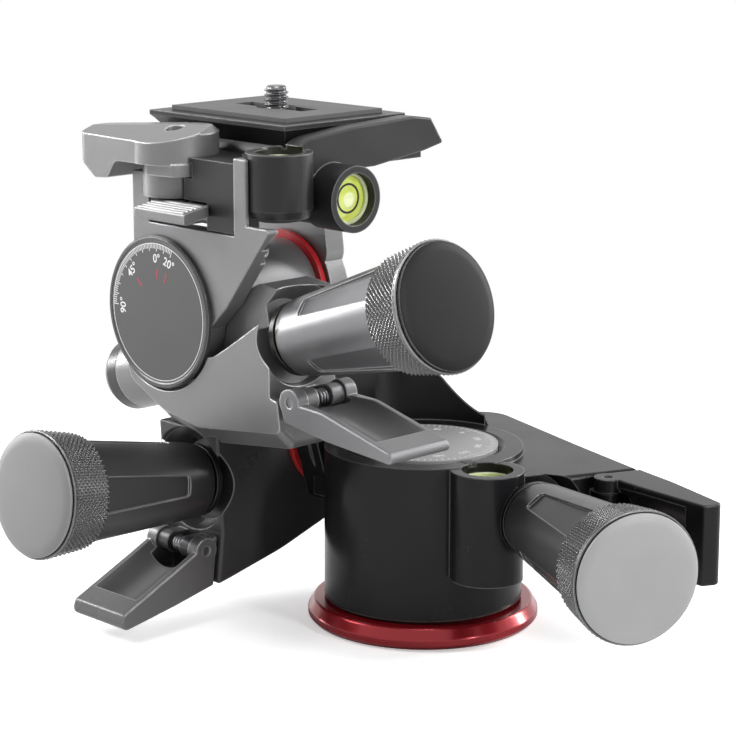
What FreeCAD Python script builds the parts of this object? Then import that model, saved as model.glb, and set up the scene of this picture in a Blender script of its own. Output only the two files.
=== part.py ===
"""Geared tripod head: base, panning stage, rolling stage, tilting stage, quick release.

Each of the three axes is a worm wheel with a worm, its knob and a release lever.  The worm,
knob and lever are laid out in a module frame: +Z runs along the worm towards the knob, +X
leads from the wheel to the lever, +Y is parallel to the wheel's axis, and the origin is the
foot of the wheel's axis on the worm.  The head stands on z = 0 and pans about Z.
"""
import FreeCAD, Part

import math
import os

# ---- driving dimensions, millimetres and degrees -------------------------------------------
base_radius = 30.0
base_height = 5.5
column_radius = 14.0
column_top = 42.0
spigot_radius = 7.5
insert_radius = 7.5
insert_height = 13.0
tripod_thread_radius = 4.0
tripod_thread_depth = 12.0

housing_radius = 25.7
housing_top = 46.0
scale_disc_radius = 19.2
scale_disc_thickness = 2.4
upright_inner_radius = 26.0
upright_outer_radius = 30.0
upright_top = 60.5

roll_axis_height = 47.0
roll_hub_radius = 17.5
roll_hub_face = 30.6
roll_ring_thickness = 1.5
roll_housing_depth = 23.0
roll_case_radius = 14.5
roll_shaft_radius = 6.0

tilt_axis_x = -50.5
tilt_axis_height = 79.8
tilt_front = 45.3
tilt_barrel_radius = 14.5
tilt_axle_radius = 4.5
tilt_rear_disc_radius = 17.8
dial_radius = 19.8
dial_thickness = 1.4

pan_worm_height = 34.5
pan_knob_heading = -22.5
roll_worm_x = -44.0
roll_knob_rise = 6.5
tilt_worm_y = -34.0
tilt_knob_rise = 16.7
roll_forward_limit = -20.0
tilt_forward_limit = -20.0
small_wheel_offset = 14.0
large_wheel_offset = 16.0
wheel_width = 8.0
worm_lead = 1.56
worm_radius = 4.2
worm_core_radius = 2.6
journal_radius = 3.0

knob_root = 40.0
knob_length = 52.0
knob_root_radius = 9.6
knob_neck_radius = 13.4
grip_start_radius = 14.6
knob_radius = 16.1
grip_width = 14.0
knob_bore_depth = 20.0

module_half_width = 10.0
module_end = 38.0
lever_pin_z = 42.0
lever_pin_radius = 1.2
lever_lug_radius = 2.8
lever_knuckle_radius = 3.4
lever_cheek_inner = 6.5
lever_dish_depth = 4.0
lever_edge_radius = 0.45

plate_length = 52.5
plate_width = 42.5
plate_centre_x = -46.2
plate_centre_y = -8.3
plate_foot_height = 120.6
plate_top = 128.8
pad_thickness = 1.2
pad_margin = 4.2
camera_screw_radius = 3.16
camera_screw_neck_radius = 2.6
camera_screw_height = 5.5

bracket_floor = 108.0
receiver_floor = 117.0
lever_pivot_x = -50.0
lever_pivot_y = -39.8
lever_pivot_radius = 2.5
lever_head_radius = 11.3
lever_hub_radius = 8.3
level_radius = 8.4
vial_radius = 6.2

# ---- clearances ----------------------------------------------------------------------------
running_gap = 0.05
face_gap = 0.3
wide_gap = 0.8
tooth_gap = 0.15
worm_gap = 0.4

# ---- fasteners -----------------------------------------------------------------------------
screw_radius = 1.5
screw_head_radius = 2.8
screw_head_height = 1.7

ORIGIN = FreeCAD.Vector(0, 0, 0)
X = FreeCAD.Vector(1, 0, 0)
Y = FreeCAD.Vector(0, 1, 0)
Z = FreeCAD.Vector(0, 0, 1)


def at(x, y, z):
    """A point or direction."""
    return FreeCAD.Vector(x, y, z)


def rod(radius, start, end):
    """Round bar between two points."""
    axis = end - start
    return Part.makeCylinder(radius, axis.Length, start, axis)


def taper(start_radius, end_radius, start, end):
    """Tapered round bar between two points."""
    axis = end - start
    return Part.makeCone(start_radius, end_radius, axis.Length, start, axis)


def block(x0, x1, y0, y1, z0, z1):
    """Square block between two corners."""
    return Part.makeBox(x1 - x0, y1 - y0, z1 - z0, at(x0, y0, z0))


def join(shapes):
    """One solid from overlapping solids."""
    first, *rest = shapes
    return first.fuse(rest)


def less(body, cutters):
    """Body with the cutters taken away one after the other."""
    for cutter in cutters:
        body = body.cut(cutter)
    return body


def outline(corners, plane, level):
    """Closed wire from corners (u, v, radius) in a plane, at one level across it."""
    lay = {
        "xy": lambda u, v: at(u, v, level),
        "yz": lambda u, v: at(level, u, v),
        "xz": lambda u, v: at(u, level, v),
    }[plane]
    points = [lay(u, v) for u, v, _ in corners]
    bends = []
    for index, (_, _, radius) in enumerate(corners):
        here = points[index]
        if radius == 0:
            bends.append((here, None, here))
            continue
        back = (points[index - 1] - here).normalize()
        ahead = (points[(index + 1) % len(points)] - here).normalize()
        half = back.getAngle(ahead) / 2
        reach = radius / math.tan(half)
        middle = here + (back + ahead).normalize() * (radius / math.sin(half) - radius)
        bends.append((here + back * reach, middle, here + ahead * reach))
    edges = []
    for index, (start, middle, end) in enumerate(bends):
        if middle is not None:
            edges.append(Part.Arc(start, middle, end).toShape())
        edges.append(Part.LineSegment(end, bends[(index + 1) % len(bends)][0]).toShape())
    return Part.Wire(edges)


def prism(corners, plane, low, high):
    """Solid with one outline in a plane, between two levels across it."""
    lift = {"xy": Z, "yz": X, "xz": Y}[plane]
    return Part.Face(outline(corners, plane, low)).extrude(lift * (high - low))


def softened(solid, lift, radius):
    """Prism with the edges of its two end faces rounded; lift is the direction between them."""
    edges = []
    for edge in solid.Edges:
        ends = edge.Vertexes
        if abs((ends[-1].Point - ends[0].Point).dot(lift)) < 1e-6:
            edges.append(edge)
    return solid.makeFillet(radius, edges)


def bridge(first_corners, first, second_corners, second, plane):
    """Solid that runs straight from one outline to another."""
    wires = [outline(first_corners, plane, first), outline(second_corners, plane, second)]
    return Part.makeLoft(wires, True, True)


def turned(profile):
    """Solid of revolution about Z from corners (radius, height)."""
    points = [at(radius, 0, height) for radius, height in profile]
    return Part.Face(Part.makePolygon(points + points[:1])).revolve(ORIGIN, Z, 360)


def coil(radius, wire_radius, pitch, turns):
    """Round-wire coil about Z, starting at z = 0."""
    helix = Part.makeHelix(pitch, pitch * turns, radius)
    section = Part.Wire(Part.makeCircle(wire_radius, at(radius, 0, 0), Y))
    return Part.Wire(helix.Edges).makePipeShell([section], True, True)


def module_frame(foot, along, away):
    """Placement of a module: +Z on the worm, +X from wheel to lever."""
    across = along.cross(away)
    return FreeCAD.Placement(FreeCAD.Matrix(
        away.x, across.x, along.x, foot.x,
        away.y, across.y, along.y, foot.y,
        away.z, across.z, along.z, foot.z,
        0, 0, 0, 1,
    ))


def seated(shape, frame):
    """Copy of a module piece in its place on the head."""
    moved = shape.copy()
    moved.Placement = frame.multiply(moved.Placement)
    return moved


def pan_frame():
    heading = math.radians(pan_knob_heading)
    along = at(math.cos(heading), math.sin(heading), 0)
    away = at(-math.sin(heading), math.cos(heading), 0)
    return module_frame(away * small_wheel_offset + Z * pan_worm_height, along, away)


def roll_frame():
    rise = math.radians(roll_knob_rise)
    along = at(0, -math.cos(rise), math.sin(rise))
    away = at(0, -math.sin(rise), -math.cos(rise))
    centre = at(roll_worm_x, 0, roll_axis_height)
    return module_frame(centre + away * large_wheel_offset, along, away)


def tilt_frame():
    rise = math.radians(tilt_knob_rise)
    along = at(math.cos(rise), 0, math.sin(rise))
    away = at(math.sin(rise), 0, -math.cos(rise))
    centre = at(tilt_axis_x, tilt_worm_y, tilt_axis_height)
    return module_frame(centre + away * small_wheel_offset, along, away)


# ---- module pieces -------------------------------------------------------------------------
far_bearing = -24.0
far_bearing_length = 8.0
near_bearing = 27.0
far_bush_radius = 5.0
near_bush_radius = 5.0
bowl_floor = 33.5
bowl_floor_radius = 10.6
bowl_mouth_radius = 14.6
collar_radius = 9.4
collar_thickness = 1.5
tube_radius = 9.5


def worm():
    """Worm shaft with one start of thread round its middle."""
    thread_half = 9.0
    tooth_half = worm_lead * 0.32
    far_end = far_bearing + far_bearing_length
    core = rod(worm_core_radius, at(0, 0, far_bearing + 1), at(0, 0, near_bearing))
    tail = rod(journal_radius, at(0, 0, far_bearing), at(0, 0, far_end))
    nose = rod(journal_radius, at(0, 0, near_bearing - 2), at(0, 0, knob_root + knob_bore_depth))
    body = rod(worm_radius - 0.75, at(0, 0, -thread_half), at(0, 0, thread_half))
    tooth = Part.makePolygon([
        at(worm_radius - 0.9, 0, -tooth_half),
        at(worm_radius, 0, -tooth_half * 0.4),
        at(worm_radius, 0, tooth_half * 0.4),
        at(worm_radius - 0.9, 0, tooth_half),
        at(worm_radius - 0.9, 0, -tooth_half),
    ])
    helix = Part.makeHelix(worm_lead, 2 * thread_half - 2, worm_radius - 0.8)
    thread = Part.Wire(helix.Edges).makePipeShell([Part.Wire(tooth)], True, True)
    thread.translate(at(0, 0, 1 - thread_half))
    return join([core, tail, nose, body, thread])


def bushes():
    """Far bush and flanged near bush that carry the worm shaft."""
    far_end = far_bearing + far_bearing_length
    near_end = knob_root - 1.2
    far = rod(far_bush_radius, at(0, 0, far_bearing), at(0, 0, far_end))
    near = rod(near_bush_radius, at(0, 0, near_bearing), at(0, 0, near_end))
    collar = rod(collar_radius, at(0, 0, near_end - collar_thickness), at(0, 0, near_end))
    hole = rod(journal_radius + running_gap, at(0, 0, far_bearing - 1), at(0, 0, knob_root))
    return Part.makeCompound([far.cut(hole), join([near, collar]).cut(hole)])


def worm_tunnel():
    """Space in a casting for the worm and its two bushes."""
    far_end = far_bearing + far_bearing_length
    far = rod(far_bush_radius, at(0, 0, far_bearing), at(0, 0, far_end))
    middle = rod(worm_radius + worm_gap, at(0, 0, far_end), at(0, 0, near_bearing))
    near = rod(near_bush_radius, at(0, 0, near_bearing), at(0, 0, knob_root + 1))
    return join([far, middle, near])


def worm_tube():
    """Round casting wall about the worm tunnel."""
    return rod(tube_radius, at(0, 0, far_bearing - 2), at(0, 0, bowl_floor + 0.5))


def root_bowl():
    """Hollow in a casting round the root of the knob, and the room for the knob beyond it."""
    bowl = taper(bowl_floor_radius, bowl_mouth_radius, at(0, 0, bowl_floor), at(0, 0, knob_root + 1))
    room = rod(knob_neck_radius + wide_gap, at(0, 0, knob_root), at(0, 0, knob_root + knob_bore_depth))
    return join([bowl, room])


def collar_room():
    """Room for the near bush's collar and the knob's root beside another casting."""
    start = knob_root - 1.2 - collar_thickness
    collar = rod(collar_radius + face_gap, at(0, 0, start - face_gap), at(0, 0, knob_root))
    root = taper(knob_root_radius + wide_gap, knob_neck_radius + wide_gap, at(0, 0, knob_root - face_gap),
                 at(0, 0, knob_root + knob_length - grip_width))
    return join([collar, root])


def wheel_room(offset):
    """Radius of the space that a worm wheel turns in."""
    return offset - worm_radius + 1.4 + 0.6


def wheel(offset, bore):
    """Throated worm wheel about its own Y axis, beside the worm."""
    outer = offset - worm_radius + 1.4
    teeth = round(2 * math.pi * (offset - worm_radius + 0.13) / worm_lead)
    centre = at(-offset, 0, 0)
    half = wheel_width / 2
    blank = rod(outer, centre - Y * half, centre + Y * half)
    throat = Part.makeTorus(offset, worm_radius + tooth_gap, centre, Y)
    slot = block(outer - 2.0, outer + 1, -half - 1, half + 1, -0.28, 0.28)
    slots = []
    for index in range(teeth):
        cutter = slot.copy()
        cutter.rotate(ORIGIN, Y, 360.0 * index / teeth)
        cutter.translate(centre)
        slots.append(cutter)
    hole = rod(bore, centre - Y * (half + 1), centre + Y * (half + 1))
    return less(blank, [throat, hole, Part.makeCompound(slots)])


def knob_body(phase):
    """Tapered knob with four flutes, on the end of the worm shaft."""
    grip_start = knob_length - grip_width
    end = knob_length - 2.0
    barrel = turned([
        (journal_radius, 0),
        (knob_root_radius, 0),
        (knob_root_radius + 0.4, 2),
        (knob_neck_radius, grip_start),
        (knob_neck_radius, end - 1),
        (knob_radius - 0.1, end - 1),
        (knob_radius - 0.1, end),
        (knob_neck_radius - 2, end),
        (knob_neck_radius - 2, end - 4),
        (0, end - 4),
        (0, knob_bore_depth),
        (journal_radius, knob_bore_depth),
    ])
    floor = prism([
        (knob_root_radius + 0.2, 9, 0),
        (knob_neck_radius - 1.8, grip_start, 0),
        (knob_radius, grip_start, 0),
        (knob_radius, 9, 0),
    ], "xz", -6, 6)
    sides = prism([
        (-2.6, 9, 1),
        (2.6, 9, 1),
        (4.6, grip_start, 0),
        (-4.6, grip_start, 0),
    ], "yz", 0, knob_radius)
    flute = floor.common(sides)
    flutes = []
    for index in range(4):
        cutter = flute.copy()
        cutter.rotate(ORIGIN, Z, phase + 90 * index)
        flutes.append(cutter)
    body = barrel.cut(Part.makeCompound(flutes))
    body.translate(at(0, 0, knob_root))
    return body


def knob_grip():
    """Ring that the fingers hold."""
    start = knob_root + knob_length - grip_width
    end = knob_root + knob_length - 3.0
    return turned([
        (knob_neck_radius, start),
        (grip_start_radius, start),
        (knob_radius, end),
        (knob_neck_radius, end),
    ])


def knob_cap():
    """Slightly domed disc in the knob's outer end."""
    rim = knob_root + knob_length - 2.0
    radius = knob_radius - 0.7
    plug = rod(knob_neck_radius - 2, at(0, 0, rim - 3), at(0, 0, rim))
    disc = turned([
        (0, rim),
        (radius, rim),
        (radius, rim + 0.7),
        (radius - 0.8, rim + 1.3),
        (radius * 0.5, rim + 1.8),
        (0, rim + 2.0),
    ])
    return join([plug, disc])


class Lever:
    """Side outline of a release lever in the module frame, as x and z of its corners."""

    def __init__(self, pin_x, shift, tip_radius, inner_root, inner_bend, inner_tip, outer_tip,
                 outer_bend, outer_root):
        self.pin_x = pin_x
        self.shift = shift
        self.tip_radius = tip_radius
        self.inner_root = inner_root
        self.inner_bend = inner_bend
        self.inner_tip = inner_tip
        self.outer_tip = outer_tip
        self.outer_bend = outer_bend
        self.outer_root = outer_root

    def frame(self, frame):
        """Module frame moved sideways to the middle of the lever."""
        return frame.multiply(FreeCAD.Placement(at(0, self.shift, 0), FreeCAD.Rotation()))

    def pin(self, half, radius):
        """Round bar on the lever's pin line."""
        return rod(radius, at(self.pin_x, -half, lever_pin_z), at(self.pin_x, half, lever_pin_z))

    def blade(self):
        """Dished blade with a knuckle on each side of the lugs."""
        start = module_end + 0.6
        half = module_half_width
        side = prism([
            (self.inner_root, start, 0.5),
            (*self.inner_bend, 12),
            (*self.inner_tip, 0.8),
            (*self.outer_tip, self.tip_radius),
            (*self.outer_bend, 40),
            (self.outer_root, start, 0.5),
        ], "xz", -half, half)
        side = softened(side, Y, lever_edge_radius)
        bend = at(self.inner_bend[0], 0, self.inner_bend[1])
        tip = at(self.inner_tip[0], 0, self.inner_tip[1])
        run = (tip - bend).normalize()
        inward = at(-run.z, 0, run.x)
        chord = half - 1.6
        dish_radius = (chord ** 2 + lever_dish_depth ** 2) / (2 * lever_dish_depth)
        middle = bend + inward * (dish_radius - lever_dish_depth)
        reach = (tip - bend).Length
        dish = rod(dish_radius, middle - run * 22, middle + run * (reach - 6))
        fork = block(0, self.outer_root - 1.5, -lever_cheek_inner, lever_cheek_inner, 0, lever_pin_z + 4.6)
        body = join([side.cut(dish), self.pin(half, lever_knuckle_radius)])
        return less(body, [fork, self.pin(half + 1, lever_pin_radius + running_gap)])

    def lugs(self):
        """Pair of lugs on a casting that hold the lever pin."""
        inner = 2.4
        outer = lever_cheek_inner - face_gap
        profile = [
            (self.pin_x - lever_lug_radius, module_end - 6, 0),
            (self.pin_x + lever_lug_radius, module_end - 6, 0),
            (self.pin_x + lever_lug_radius, lever_pin_z + lever_lug_radius, 2.7),
            (self.pin_x - lever_lug_radius, lever_pin_z + lever_lug_radius, 2.7),
        ]
        return [prism(profile, "xz", -outer, -inner), prism(profile, "xz", inner, outer)]

    def spring(self):
        """Torsion spring round the pin, between the lugs."""
        spring = coil(1.8, 0.4, 0.95, 3)
        spring.rotate(ORIGIN, X, -90)
        spring.translate(at(self.pin_x, -1.43, lever_pin_z))
        return spring


pan_lever = Lever(17.5, 0.0, 2.2, 17.0, (20.5, 54.0), (26.3, 74.0), (31.8, 74.5), (30.3, 52.0), 28.4)
roll_lever = Lever(16.5, 0.5, 2.0, 12.5, (20.0, 50.5), (30.6, 68.0), (35.4, 69.0), (30.0, 51.0), 25.8)
tilt_lever = Lever(15.2, -1.3, 1.2, 14.0, (18.8, 52.5), (31.2, 73.2), (34.6, 74.4), (26.3, 53.0), 19.6)


# ---- base ----------------------------------------------------------------------------------
base_screw_circle = 10.8
base_screw_length = 13.5
washer_thickness = 0.7
housing_bottom = base_height + washer_thickness + 0.1
pan_wheel_bottom = pan_worm_height - wheel_width / 2
post_top = pan_worm_height - worm_radius - wide_gap
scale_disc_rise = 0.4


def base_screw_points():
    angles = [math.radians(angle) for angle in (90, 210, 330)]
    return [at(base_screw_circle * math.cos(a), base_screw_circle * math.sin(a), 0.4) for a in angles]


def base_disc():
    """Flanged foot that meets the tripod."""
    disc = turned([
        (insert_radius, 0),
        (base_radius - 1.2, 0),
        (base_radius, 1.2),
        (base_radius, 2.8),
        (base_radius - 1.6, base_height),
        (insert_radius, base_height),
    ])
    disc = disc.makeFillet(0.7, [edge for edge in disc.Edges if edge.BoundBox.XMax > base_radius - 2])
    for point in base_screw_points():
        head = taper(screw_head_radius, screw_radius, point, point + Z * screw_head_height)
        mouth = rod(screw_head_radius, point - Z, point)
        disc = less(disc, [head, mouth, rod(screw_radius, point, point + Z * base_screw_length)])
    return disc


def base_screws():
    """Countersunk screws from the foot into the column."""
    screws = []
    for point in base_screw_points():
        head = taper(screw_head_radius, screw_radius, point, point + Z * screw_head_height)
        socket = rod(0.9, point, point + Z * 1.2)
        shank = rod(screw_radius, point + Z, point + Z * base_screw_length)
        screws.append(join([head, shank]).cut(socket))
    return Part.makeCompound(screws)


def base_column():
    """Fixed post that the housing turns on."""
    post = rod(column_radius, at(0, 0, base_height), at(0, 0, post_top))
    shoulder = rod(spigot_radius + 2, at(0, 0, post_top - 1), at(0, 0, pan_wheel_bottom))
    spigot = rod(spigot_radius, at(0, 0, pan_wheel_bottom - 1), at(0, 0, column_top))
    tapped = [rod(screw_radius, point, point + Z * base_screw_length) for point in base_screw_points()]
    return less(join([post, shoulder, spigot]), [rod(insert_radius, ORIGIN, at(0, 0, insert_height))] + tapped)


def thread_insert():
    """Steel bush with the tripod thread."""
    bush = rod(insert_radius, ORIGIN, at(0, 0, insert_height))
    return bush.cut(rod(tripod_thread_radius, at(0, 0, -1), at(0, 0, tripod_thread_depth)))


def pan_washer():
    """Polymer ring that the housing slides on."""
    ring = rod(housing_radius - 2.2, at(0, 0, base_height), at(0, 0, base_height + washer_thickness))
    return ring.cut(rod(column_radius, ORIGIN, at(0, 0, base_height * 2)))


def pan_scale_disc():
    """Fixed disc with the pan scale, on top of the column."""
    top = housing_top + scale_disc_rise
    disc = rod(scale_disc_radius, at(0, 0, top - scale_disc_thickness), at(0, 0, top))
    return join([disc, rod(spigot_radius, at(0, 0, column_top), at(0, 0, top - 1))])


def pan_worm_wheel():
    return seated(wheel(small_wheel_offset, spigot_radius), pan_frame())


# ---- panning stage -------------------------------------------------------------------------
pan_level_x = 28.6
pan_level_y = -6.7
pan_level_boss_radius = 9.2
pan_level_bottom = 17.8
pan_level_top = 45.8
pan_pocket_depth = 5.3
pan_vial_drop = 2.3
pan_vial_radius = 6.5
pan_index_heading = -14.0


def upright():
    """Curved wall and hub of the panning casting, which carry the roll pivot."""
    wall = rod(upright_outer_radius, at(0, 0, 30), at(0, 0, upright_top))
    wall = wall.cut(rod(upright_inner_radius, at(0, 0, housing_top), at(0, 0, upright_top + 1)))
    keep = prism([
        (-14, 30, 0),
        (29, 30, 0),
        (29, 43, 0),
        (26.5, 47.5, 3),
        (21.5, upright_top - 2, 3),
        (17.5, upright_top, 2),
        (-14, upright_top, 0),
    ], "yz", -40, -2.5)
    hub = rod(roll_hub_radius, at(-25, 0, roll_axis_height), at(-roll_hub_face, 0, roll_axis_height))
    hub = hub.makeFillet(0.8, [edge for edge in hub.Edges if edge.BoundBox.XMax < 0.1 - roll_hub_face])
    root = prism([
        (-12, 28, 3),
        (12, 28, 3),
        (roll_hub_radius, roll_axis_height, 0),
        (-roll_hub_radius, roll_axis_height, 0),
    ], "yz", -roll_hub_face, -22)
    return [wall.common(keep), hub, root]


def pan_flank():
    """Thick rear flank beside the pan worm, which runs on into the pan lever."""
    half = module_half_width
    flank = prism([
        (-6.0, -20.0, 3),
        (5.0, -34.0, 5),
        (22.0, -34.0, 9),
        (25.6, 10.0, 60),
        (28.4, module_end, 0.8),
        (-10.5, module_end, 0.8),
        (-10.5, 24.0, 2),
    ], "xz", -half, half)
    return softened(flank, Y, 1.2)


def pan_housing():
    """Panning casting: cylinder, worm box, level boss, upright for the roll pivot."""
    frame = pan_frame()
    shell = rod(housing_radius, at(0, 0, housing_bottom), at(0, 0, housing_top))
    level = at(pan_level_x, pan_level_y, 0)
    boss = rod(pan_level_boss_radius, level + Z * pan_level_bottom, level + Z * pan_level_top)
    box = join([worm_tube(), pan_flank()]).cut(root_bowl())
    body = join([shell, boss, seated(box, frame)] + upright())
    body = join([body] + [seated(lug, frame) for lug in pan_lever.lugs()])
    return less(body, [
        rod(wheel_room(small_wheel_offset), at(0, 0, pan_wheel_bottom - 0.4), at(0, 0, housing_top + 20)),
        rod(scale_disc_radius + face_gap, at(0, 0, column_top), at(0, 0, housing_top + 30)),
        taper(scale_disc_radius - 1.0, scale_disc_radius + 2.4, at(0, 0, housing_top - 1.6),
              at(0, 0, housing_top + 0.3)),
        rod(column_radius + running_gap, ORIGIN, at(0, 0, pan_wheel_bottom)),
        rod(pan_vial_radius, level + Z * (pan_level_top - pan_pocket_depth), level + Z * (pan_level_top + 1)),
        rod(roll_shaft_radius, roll_centre(-roll_hub_face - 1), roll_centre(-25.5)),
        seated(worm_tunnel(), frame),
        seated(pan_lever.pin(module_half_width + 1, lever_pin_radius), frame),
        seated(collar_room(), frame),
        pan_index_block(housing_top - 1.0, housing_top + 1.0),
    ])


def pan_level_vial():
    """Round vial in the level boss."""
    start = at(pan_level_x, pan_level_y, pan_level_top - pan_pocket_depth)
    return rod(pan_vial_radius, start, start + Z * (pan_pocket_depth - pan_vial_drop))


def pan_index_block(low, high):
    """Block on the rim at the index's heading, between two heights."""
    mark = block(scale_disc_radius + 1.0, scale_disc_radius + 3.6, -1.4, 1.4, low, high)
    mark.rotate(ORIGIN, Z, pan_index_heading)
    return mark


def pan_index():
    """Black index let into the housing's rim, beside the pan scale."""
    return pan_index_block(housing_top - 1.0, housing_top + 0.1)


# ---- roll pivot and rolling stage ----------------------------------------------------------
roll_inner = -(roll_hub_face + roll_ring_thickness + face_gap)
roll_outer = roll_inner - roll_housing_depth
roll_cover_thickness = 2.5
roll_seat = 50.2


def roll_centre(x):
    return at(x, 0, roll_axis_height)


def roll_shaft():
    """Fixed pivot shaft, pressed into the upright, that carries the roll worm wheel."""
    return rod(roll_shaft_radius, roll_centre(-25.5), roll_centre(roll_outer + 4))


def roll_worm_wheel():
    return seated(wheel(large_wheel_offset, roll_shaft_radius), roll_frame())


def roll_ring():
    """Friction ring between the upright and the rolling casting."""
    start = -roll_hub_face
    ring = rod(roll_hub_radius + 1.0, roll_centre(start), roll_centre(start - roll_ring_thickness))
    return ring.cut(rod(roll_shaft_radius, roll_centre(start + 1), roll_centre(start - 5)))


def roll_body():
    """Outer form of the rolling casting without its bores."""
    side = [
        (-42.5, roll_seat, 0.5),
        (-40.9, 23.5, 0),
        (-42.4, 9.9, 0.8),
        (-37.5, 10.9, 20),
        (-19.9, 14.9, 60),
        (-2.7, 20.5, 40),
        (13.0, 27.0, 8),
        (17.0, 36.0, 6),
        (17.0, roll_seat, 4),
    ]
    slab = softened(prism(side, "yz", roll_outer, roll_inner), X, 0.9)
    case = rod(roll_case_radius, roll_centre(roll_outer), roll_centre(roll_inner))
    return join([slab, case])


def roll_housing():
    """Casting of the rolling stage, which holds the roll worm."""
    frame = roll_frame()
    room = wheel_room(large_wheel_offset)
    body = join([roll_body(), seated(worm_tube(), frame)])
    body = body.cut(seated(root_bowl(), frame))
    lever_frame = roll_lever.frame(frame)
    body = join([body] + [seated(lug, lever_frame) for lug in roll_lever.lugs()])
    return less(body, [
        rod(room, roll_centre(roll_worm_x + wheel_width / 2 + face_gap), roll_centre(roll_outer - 1)),
        rod(roll_shaft_radius + running_gap, roll_centre(-20), roll_centre(roll_outer - 1)),
        seated(worm_tunnel(), frame),
        seated(roll_lever.pin(module_half_width + 1, lever_pin_radius), lever_frame),
    ] + [rod(screw_radius, point, point - Z * 20) for point in frame_screw_points()])


def roll_cover():
    """Round lid over the roll worm wheel, with the outer bearing of the pivot shaft."""
    room = wheel_room(large_wheel_offset)
    lid = rod(room, roll_centre(roll_outer), roll_centre(roll_outer + roll_cover_thickness))
    wheel_face = roll_worm_x - wheel_width / 2
    boss = rod(roll_shaft_radius + 3, roll_centre(roll_outer), roll_centre(wheel_face - face_gap))
    bore = rod(roll_shaft_radius + running_gap, roll_centre(roll_outer + 3.5), roll_centre(0))
    return join([lid, boss]).cut(bore)


# ---- mid frame -----------------------------------------------------------------------------
frame_wall_back = -38.9
frame_back = -23.0
frame_chamfer = 4.6
barrel_end = -3.2
saddle_top = 60.8


def tilt_centre(y):
    return at(tilt_axis_x, y, tilt_axis_height)


def frame_outline(lift, horn):
    """Front outline of the mid frame; lift raises its lower edge, horn is its right shoulder."""
    return [
        (-66.5 + lift * 0.4, 66.0, 3),
        (-64.5 + lift * 0.4, 58.5 + lift * 0.4, 4),
        (-50.5, 49.8 + lift, 8),
        (-36.0, 47.2 + lift, 10),
        (-5.0, 50.9 + lift, 2),
        (-6.2, 63.3, 1),
        (-9.0, 63.9, 0.8),
        (-9.0, horn, 1),
        (-19.0, horn + 1.0, 2),
        (-34.0, 84.0, 4),
        (-60.0, 78.0, 4),
    ]


def arm_sweep():
    """Space that the front arm of the top bracket turns through."""
    hub = rod(dial_radius + wide_gap, tilt_centre(-60), tilt_centre(frame_wall_back))
    x, z = tilt_axis_x, tilt_axis_height
    wedge = prism([
        (x - 60, z - 11.8, 0),
        (x - 10, z - 11.8, 0),
        (x + 20, z - 9.0, 0),
        (x + 25.5, z - 5.8, 0),
        (x + 52, z + 11.4, 0),
        (x + 52, z + 60, 0),
        (x - 60, z + 60, 0),
    ], "xz", -60, frame_wall_back)
    return join([hub, wedge])


def housing_sweep():
    """Panning cylinder as the rolling stage meets it at the end of its forward roll."""
    cylinder = rod(housing_radius + wide_gap, ORIGIN, at(0, 0, housing_top + wide_gap))
    cylinder.rotate(roll_centre(0), X, roll_forward_limit)
    return cylinder


def frame_screw_points():
    """Tops of the screws that hold the mid frame down on the rolling casting."""
    return [at(-36.0, -18.0, saddle_top - screw_head_height), at(-51.5, -18.0, saddle_top - screw_head_height)]


def frame_screws():
    """Cap screws from the mid frame's saddle into the rolling casting."""
    screws = []
    for point in frame_screw_points():
        head = rod(screw_head_radius, point, point + Z * screw_head_height)
        shank = rod(screw_radius, point + Z * 0.5, point - Z * 18)
        socket = rod(1.4, point + Z * 0.6, point + Z * 3)
        screws.append(join([head, shank]).cut(socket))
    return Part.makeCompound(screws)


def mid_frame():
    """Light casting of the rolling stage, which holds the tilt worm and the tilt axle."""
    frame = tilt_frame()
    lever_frame = tilt_lever.frame(frame)
    chamfer_back = -tilt_front + frame_chamfer
    face = bridge(frame_outline(frame_chamfer, 84.0), -tilt_front,
                  frame_outline(0, 84.0), chamfer_back, "xz")
    wall = prism(frame_outline(0, 84.0), "xz", chamfer_back, frame_wall_back)
    rear = prism(frame_outline(0, 89.5), "xz", frame_wall_back, frame_back)
    barrel = rod(tilt_barrel_radius, tilt_centre(frame_wall_back), tilt_centre(barrel_end))
    neck = block(tilt_axis_x - 9, tilt_axis_x + 9, frame_back - 1, -8, saddle_top - 2, 70)
    saddle = block(roll_outer + 1, roll_inner - 0.5, frame_back - 1, -11.5, roll_seat - 1, saddle_top)
    body = join([face, wall, rear, barrel, neck, saddle, seated(worm_tube(), frame)])
    body = less(body, [arm_sweep(), housing_sweep(), seated(root_bowl(), frame)])
    body = join([body] + [seated(lug, lever_frame) for lug in tilt_lever.lugs()])
    wheel_end = tilt_worm_y + wheel_width / 2 + face_gap
    heads = [rod(screw_head_radius, point, point + Z * 4) for point in frame_screw_points()]
    shanks = [rod(screw_radius, point - Z * 20, point + Z) for point in frame_screw_points()]
    return less(body, [
        rod(wheel_room(small_wheel_offset), tilt_centre(-60), tilt_centre(wheel_end)),
        rod(tilt_axle_radius, tilt_centre(-60), tilt_centre(barrel_end + 1)),
        roll_body(),
        seated(worm_tunnel(), frame),
        seated(tilt_lever.pin(module_half_width + 1, lever_pin_radius), lever_frame),
    ] + heads + shanks)


def tilt_axle():
    """Fixed axle of the tilt axis."""
    return rod(tilt_axle_radius, tilt_centre(-45.0), tilt_centre(8.0))


def tilt_dial():
    """Round dial with the tilt scale, on the axle's front end."""
    return rod(dial_radius, tilt_centre(-45.0 - dial_thickness), tilt_centre(-45.0))


def tilt_ring():
    """Friction ring behind the barrel."""
    ring = rod(tilt_barrel_radius + 2.0, tilt_centre(barrel_end), tilt_centre(barrel_end + 1.6))
    return ring.cut(rod(tilt_axle_radius, tilt_centre(-10), tilt_centre(5)))


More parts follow.
